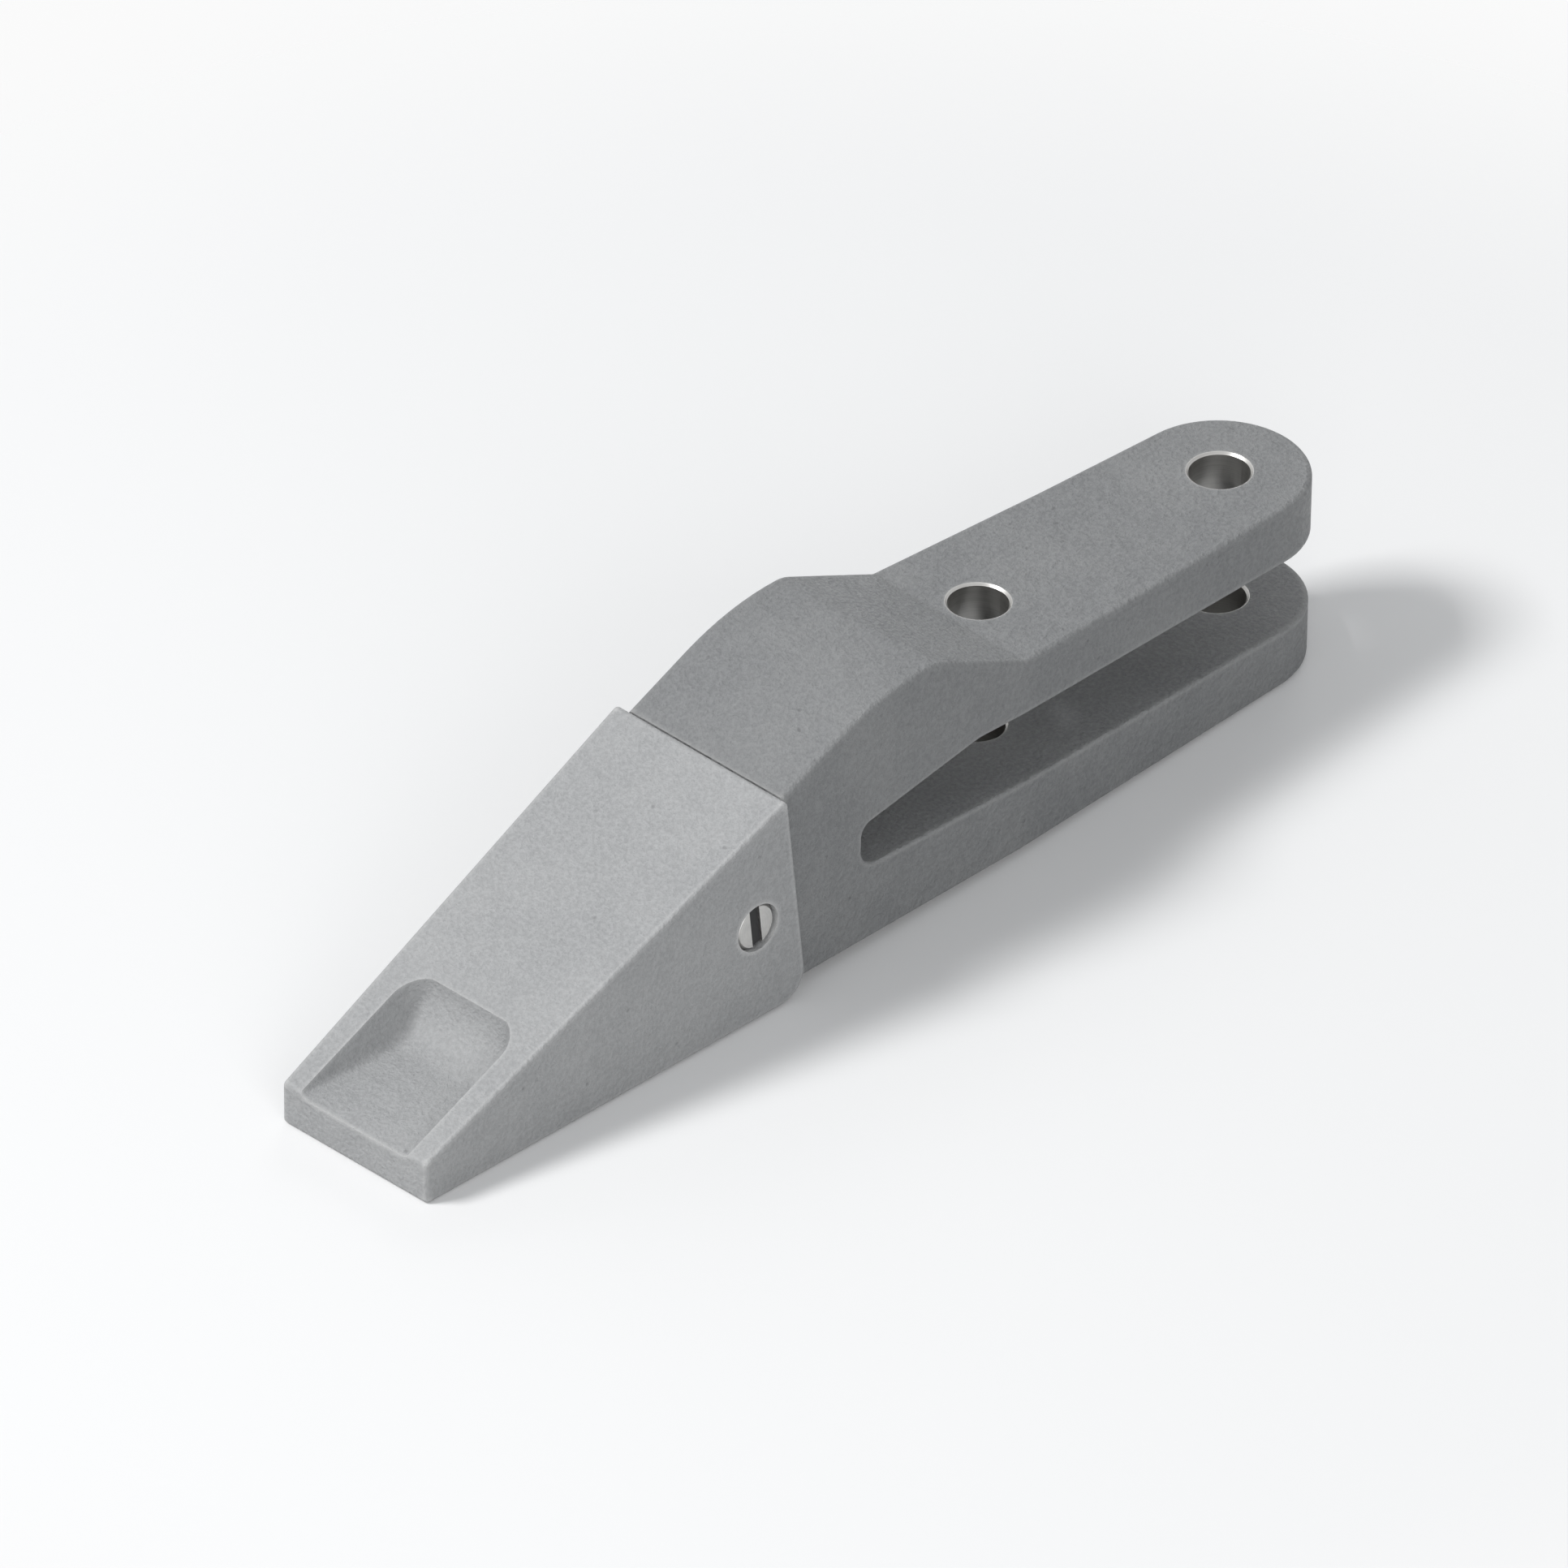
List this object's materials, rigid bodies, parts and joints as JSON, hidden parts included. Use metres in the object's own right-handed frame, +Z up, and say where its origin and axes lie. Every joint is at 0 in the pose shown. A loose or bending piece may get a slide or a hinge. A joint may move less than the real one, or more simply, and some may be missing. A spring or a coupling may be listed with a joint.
{
  "type": "bucket tooth adapter",
  "caption": "Bolt-on bucket tooth adapter: straps that clasp a bucket's lip plate, a humped body and a wedge nose that carries a pinned digging tooth.",
  "frame": {"origin": "midway between the two lip bolt holes, on the slot face that the bucket's lip rests on", "axes": "+X towards the digging tip, +Y to the side that the drawing shows, +Z up along the bolt holes"},
  "size_m": [0.437, 0.0804, 0.1127],
  "materials": {
    "adapter_casting": "as-cast steel under one thin coat of mid grey paint",
    "tooth_casting": "as-cast steel under one thin coat of light grey paint",
    "pin_steel": "bare turned steel",
    "pin_rubber": "matt black bonded rubber"
  },
  "bodies": {
    "root": {"adapter": "adapter_casting", "tooth_point": "tooth_casting", "pin_front_half": "pin_steel", "pin_rear_half": "pin_steel", "pin_rubber_core": "pin_rubber"}
  },
  "joints": []
}
